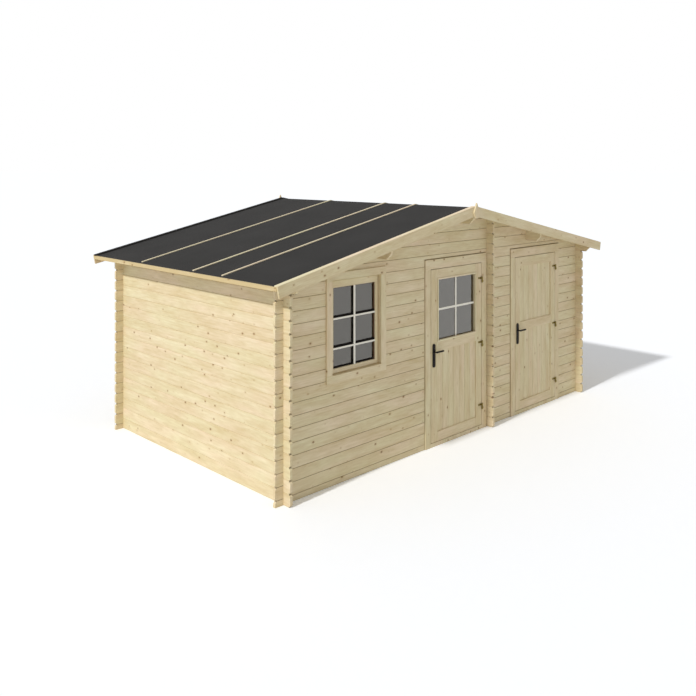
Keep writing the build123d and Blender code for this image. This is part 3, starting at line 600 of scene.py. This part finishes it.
class SHED_OT_roof_boarding(bpy.types.Operator):
    """Lays the roof boards of both slopes"""

    bl_idname = "shed.roof_boarding"
    bl_label = "Roof Boarding"

    def execute(self, context):
        roof = context.scene.shed_roof
        low, high = LEFT_BOARDS
        length = -low[0] / cos(roof.pitch)
        count = round((high[1] - low[1]) / roof.cover)
        cover = (high[1] - low[1]) / count
        for side, way in (("left", -1), ("right", 1)):
            mesh = boarding(length + 2 * OVERRUN, count, cover, ROOF_BOARD_T, roof.joint)
            ridge = high[2] - ROOF_BOARD_T / cos(roof.pitch)
            slope = Matrix.Translation((0.0, low[1], ridge)) @ Matrix.Rotation(roof.pitch, 4, "Y")
            slope = slope @ Matrix.Translation((-OVERRUN, 0.0, 0.0))
            bmesh.ops.transform(mesh, matrix=slope, verts=mesh.verts)
            trimmed(mesh, RIDGE_PLAY, -1)
            trimmed(mesh, -low[0], 1)
            if way < 0:
                bmesh.ops.scale(mesh, vec=(-1, 1, 1), verts=mesh.verts)
            bmesh.ops.recalc_face_normals(mesh, faces=mesh.faces)
            wood = spruce(f"Spruce roof boards, {side} slope", "X", ("Y", low[1], cover),
                          seed=20.0 + way, slope=-way * roof.pitch, seam=0.5)
            boards = piece(f"{side}_roof_boarding", mesh, wood, "cabin")
            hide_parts(f"{side}_roof_boards")
        return {"FINISHED"}


class SHED_OT_verge_strips(bpy.types.Operator):
    """Lays a planed strip on the front verge, and turns the felt over the back verge"""

    bl_idname = "shed.verge_strips"
    bl_label = "Verge Strips"

    def execute(self, context):
        pitch = context.scene.shed_roof.pitch
        board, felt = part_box("front_left_bargeboard"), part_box("left_roofing_felt")
        length = -board[0][0] / cos(pitch) - VERGE_SHORT
        outer, inner = board[0][1], board[0][1] + VERGE_W
        top = board[1][2] + PLAY
        felt_over = NODES["left_roofing_felt"].material_slots[0].material
        drop = (board[1][2] - felt[1][2]) * cos(pitch) - PLAY
        for side, way in (("left", -1), ("right", 1)):
            mesh = bmesh.new()
            bar(mesh, (EASE, outer + EASE, 0.0), (length, inner, VERGE_T), EASE)
            # The packing under the strip fills the step from the bargeboard down to the felt.
            bar(mesh, (EASE, board[1][1] + EASE / 2, -drop), (length, inner - EASE, EASE / 2))
            there = Matrix.Translation((0.0, 0.0, top)) @ Matrix.Rotation(pitch, 4, "Y")
            bmesh.ops.transform(mesh, matrix=there, verts=mesh.verts)
            if way < 0:
                bmesh.ops.scale(mesh, vec=(-1, 1, 1), verts=mesh.verts)
            rear = mesh.copy()
            bmesh.ops.scale(rear, vec=(1, -1, 1), verts=rear.verts)
            for half in (mesh, rear):
                bmesh.ops.recalc_face_normals(half, faces=half.faces)
            wood = spruce(f"Spruce verge strip, {side} slope", "X", seed=91.0 + way,
                          slope=-way * pitch, tone=-0.4)
            piece(f"front_{side}_verge_strip", mesh, wood, "cabin")
            piece(f"back_{side}_verge_felt", rear, felt_over, "cabin")
        return {"FINISHED"}


class SHED_OT_floor_boarding(bpy.types.Operator):
    """Lays the floor boards of both rooms"""

    bl_idname = "shed.floor_boarding"
    bl_label = "Floor Boarding"

    def execute(self, context):
        roof = context.scene.shed_roof
        for side, seed in (("left", 81.0), ("right", 86.0)):
            low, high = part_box(f"{side}_room_floor")
            span = high[0] - low[0]
            count = round(span / roof.cover)
            cover = span / count
            mesh = boarding(high[1] - low[1], count, cover, high[2] - low[2], roof.joint / 2)
            bmesh.ops.rotate(mesh, matrix=Matrix.Rotation(pi / 2, 3, "Z"), verts=mesh.verts)
            bmesh.ops.translate(mesh, vec=(high[0], low[1], low[2]), verts=mesh.verts)
            wood = spruce(f"Spruce floor boards, {side} room", "Y", ("X", low[0], cover), seed=seed, seam=0.8)
            boards = piece(f"{side}_room_boards", mesh, wood, "cabin")
            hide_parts(f"{side}_room_floor")
        return {"FINISHED"}


class SHED_OT_window_bars(bpy.types.Operator):
    """Sets the glazing bars and their black spacers in the window, and paints shade on the sash's flanks
    beside the glass
    """

    bl_idname = "shed.window_bars"
    bl_label = "Window Bars"

    def execute(self, context):
        glazing = context.scene.shed_glazing
        low, high = PANE
        front = SASH[0][1]
        back = front + glazing.bar_depth
        glass = low[1] - PLAY
        half, flat = glazing.bar / 2, glazing.level_bar / 2
        mid = (low[0] + high[0]) / 2
        levels = (glazing.upper_bar, glazing.lower_bar)
        seal = rubber_and_flank_shade("Glazing spacers, black rubber", "#0E0B0A", "#1A1513")
        # The sash's flanks beside the glass are lined in dark brown: painted shade, where the recess keeps
        # the sun out.
        flank_shade = rubber_and_flank_shade("Glazing gasket, painted brown", "#6B513D", "#7D624B")
        bars = bmesh.new()
        bar(bars, (mid - half, front, low[2]), (mid + half, back, high[2]), BAR_EDGE)
        inside = high[1] + PLAY
        inside_face = inside + glazing.bar_depth
        bar(bars, (mid - half, inside, low[2]), (mid + half, inside_face, high[2]), BAR_EDGE)
        spacers = bmesh.new()
        bar(spacers, (mid - half + BAR_EDGE, back, low[2]), (mid + half - BAR_EDGE, glass, high[2]))
        for x0, x1 in ((low[0], mid - half), (mid + half, high[0])):
            for z in levels:
                bar(bars, (x0, front, z - flat), (x1, back, z + flat), BAR_EDGE)
                bar(bars, (x0, inside, z - flat), (x1, inside_face, z + flat), BAR_EDGE)
                bar(spacers, (x0, back, z - flat), (x1, glass, z + flat + SPACER_SHOWS))
            bar(spacers, (x0, glass - SPACER_T, low[2]), (x1, glass, low[2] + SPACER_SHOWS))
        # Painted shade on the left, right and upper flanks, from the bars' depth to the glass.
        edging = bmesh.new()
        left, right, upper = low[0] + SPACER_T, high[0] - SPACER_T, high[2] - SPACER_T
        bar(edging, (low[0], back, low[2]), (left, glass, high[2]))
        bar(edging, (right, back, low[2]), (high[0], glass, high[2]))
        bar(edging, (left, back, upper), (right, glass, high[2]))
        piece("window_flank_shade", edging, flank_shade, "cabin")
        piece("window_bars", bars, white_foil(), "cabin")
        piece("window_bar_spacers", spacers, seal, "cabin")
        return {"FINISHED"}


class SHED_OT_door_glazing(bpy.types.Operator):
    """Sets the pale bars and the bevelled bead of the glazed door"""

    bl_idname = "shed.door_glazing"
    bl_label = "Door Glazing"

    def execute(self, context):
        glazing = context.scene.shed_glazing
        low, high = LEFT_GLASS
        half = glazing.bar / 2
        mid_x, mid_z = (low[0] + high[0]) / 2, (low[2] + high[2]) / 2
        x0, x1, z0, z1 = low[0] + BEAD_LAP, high[0] - BEAD_LAP, low[2] + BEAD_LAP, high[2] - BEAD_LAP
        width = glazing.bead
        bars, beads = bmesh.new(), bmesh.new()
        leaf_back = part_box("left_door_leaf")[1][1]
        for glass, face, out in ((low[1] - PLAY, LEAF_FACE - PLAY, -1),
                                 (high[1] + PLAY, leaf_back + PLAY, 1)):
            y0, y1 = sorted((glass, glass + out * DOOR_BAR_T))
            bar(bars, (mid_x - half, y0, low[2]), (mid_x + half, y1, high[2]))
            bar(bars, (low[0], y0, mid_z - half), (mid_x - half, y1, mid_z + half))
            bar(bars, (mid_x + half, y0, mid_z - half), (high[0], y1, mid_z + half))
            y0, y1 = sorted((face, face + out * BEAD_OUT))
            bar(beads, (x0 - width, y0, z0 - width), (x1 + width, y1, z0), BEAD_EDGE)
            bar(beads, (x0 - width, y0, z1), (x1 + width, y1, z1 + width), BEAD_EDGE)
            bar(beads, (x0 - width, y0, z0), (x0, y1, z1), BEAD_EDGE)
            bar(beads, (x1, y0, z0), (x1 + width, y1, z1), BEAD_EDGE)
        # The two bevels of a bead meet, and leave faces of no width between them.
        bmesh.ops.dissolve_degenerate(beads, edges=beads.edges, dist=NO_WIDTH)
        piece("left_door_bars", bars, white_foil(), "left_door")
        wood = spruce("Spruce bead, planed", "Z", seed=71.0, tone=-0.2,
                      rails=("Z", mid_z, (z1 - z0) / 2, False))
        piece("left_door_beads", beads, wood, "left_door")
        return {"FINISHED"}


class SHED_OT_stage(bpy.types.Operator):
    """Sets the pale floor, the sun, the plain sky and the camera"""

    bl_idname = "shed.stage"
    bl_label = "Stage"

    def execute(self, context):
        stage = context.scene.shed_stage
        context.scene.view_settings.view_transform = "Standard"
        floor_mesh = bmesh.new()
        bmesh.ops.create_circle(floor_mesh, cap_ends=True, radius=FLOOR_RADIUS, segments=64)
        data = bpy.data.meshes.new("floor")
        floor_mesh.to_mesh(data)
        floor_mesh.free()
        floor = bpy.data.objects.new("floor", data)
        context.scene.collection.objects.link(floor)
        material, tree, output = new_material("Studio floor, matt white")
        light = add(tree, "ShaderNodeLightPath")
        plain = add(tree, "ShaderNodeBsdfDiffuse", {"Color": FLOOR_COLOUR})
        seen = add(tree, "ShaderNodeBsdfDiffuse", {"Color": FLOOR_SEEN})
        shader = add(tree, "ShaderNodeMixShader",
                     {0: light.outputs["Is Camera Ray"], 1: plain.outputs[0], 2: seen.outputs[0]})
        tree.links.new(shader.outputs[0], output.inputs["Surface"])
        data.materials.append(material)

        sun_data = bpy.data.lights.new("sun", "SUN")
        sun_data.energy = stage.sun_strength
        sun_data.angle = SUN_ANGLE
        sun = bpy.data.objects.new("sun", sun_data)
        context.scene.collection.objects.link(sun)
        ray = Vector((cos(stage.sun_height), SUN_ASIDE, -sin(stage.sun_height)))
        sun.rotation_euler = ray.to_track_quat("-Z", "Y").to_euler()

        world = bpy.data.worlds.new("sky")
        context.scene.world = world
        world.use_nodes = True
        tree = world.node_tree
        tree.nodes.clear()
        ray_kind = add(tree, "ShaderNodeLightPath").outputs
        seen = ray_kind["Is Camera Ray"]
        for also in ("Is Glossy Ray", "Is Transmission Ray"):
            seen = add(tree, "ShaderNodeMath", {0: seen, 1: ray_kind[also]}, operation="MAXIMUM").outputs[0]
        strength = add(tree, "ShaderNodeMapRange",
                       {"Value": seen, "To Min": stage.sky_strength, "To Max": 1.0})
        sky = add(tree, "ShaderNodeBackground",
                  {"Color": (1.0, 1.0, 1.0, 1.0), "Strength": strength.outputs[0]})
        last = add(tree, "ShaderNodeOutputWorld")
        tree.links.new(sky.outputs[0], last.inputs["Surface"])

        camera_data = bpy.data.cameras.new("camera")
        camera_data.sensor_width = 36.0
        camera_data.lens = stage.lens
        camera_data.shift_x, camera_data.shift_y = CAMERA_SHIFT
        camera_data.clip_end = CAMERA_REACH
        camera = bpy.data.objects.new("camera", camera_data)
        context.scene.collection.objects.link(camera)
        camera.location = CAMERA_PLACE
        camera.rotation_euler = (pi / 2, 0.0, -stage.heading)
        context.scene.camera = camera
        return {"FINISHED"}


class SHED_PT_panel(bpy.types.Panel):
    """Steps that dress the shed"""

    bl_idname = "SHED_PT_panel"
    bl_label = "Log Shed"
    bl_space_type = "VIEW_3D"
    bl_region_type = "UI"
    bl_category = "Shed"

    def draw(self, context):
        layout = self.layout
        for group in GROUPS:
            for name in GROUPS[group].__annotations__:
                layout.prop(getattr(context.scene, group), name)
        for step in STEPS:
            layout.operator(step.bl_idname)


GROUPS = {"shed_timber": ShedTimber, "shed_roof": ShedRoof, "shed_glazing": ShedGlazing,
          "shed_stage": ShedStage}
STEPS = (SHED_OT_finish_logs, SHED_OT_finish_joinery, SHED_OT_finish_roofing, SHED_OT_finish_fittings,
         SHED_OT_roof_boarding, SHED_OT_verge_strips, SHED_OT_floor_boarding, SHED_OT_window_bars,
         SHED_OT_door_glazing, SHED_OT_stage)


def register():
    """Adds the shed's settings, steps and panel to the editor."""
    for made in (*GROUPS.values(), *STEPS, SHED_PT_panel):
        bpy.utils.register_class(made)
    for name, group in GROUPS.items():
        setattr(bpy.types.Scene, name, PointerProperty(type=group))


def unregister():
    """Takes them out again."""
    for name in GROUPS:
        delattr(bpy.types.Scene, name)
    for made in (SHED_PT_panel, *reversed(STEPS), *GROUPS.values()):
        bpy.utils.unregister_class(made)


def main():
    """Dresses the shed."""
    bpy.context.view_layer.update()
    register()
    for step in STEPS:
        group, call = step.bl_idname.split(".")
        if getattr(getattr(bpy.ops, group), call)() != {"FINISHED"}:
            raise RuntimeError(step.bl_label + " did not finish")


if __name__ == "__main__":
    main()
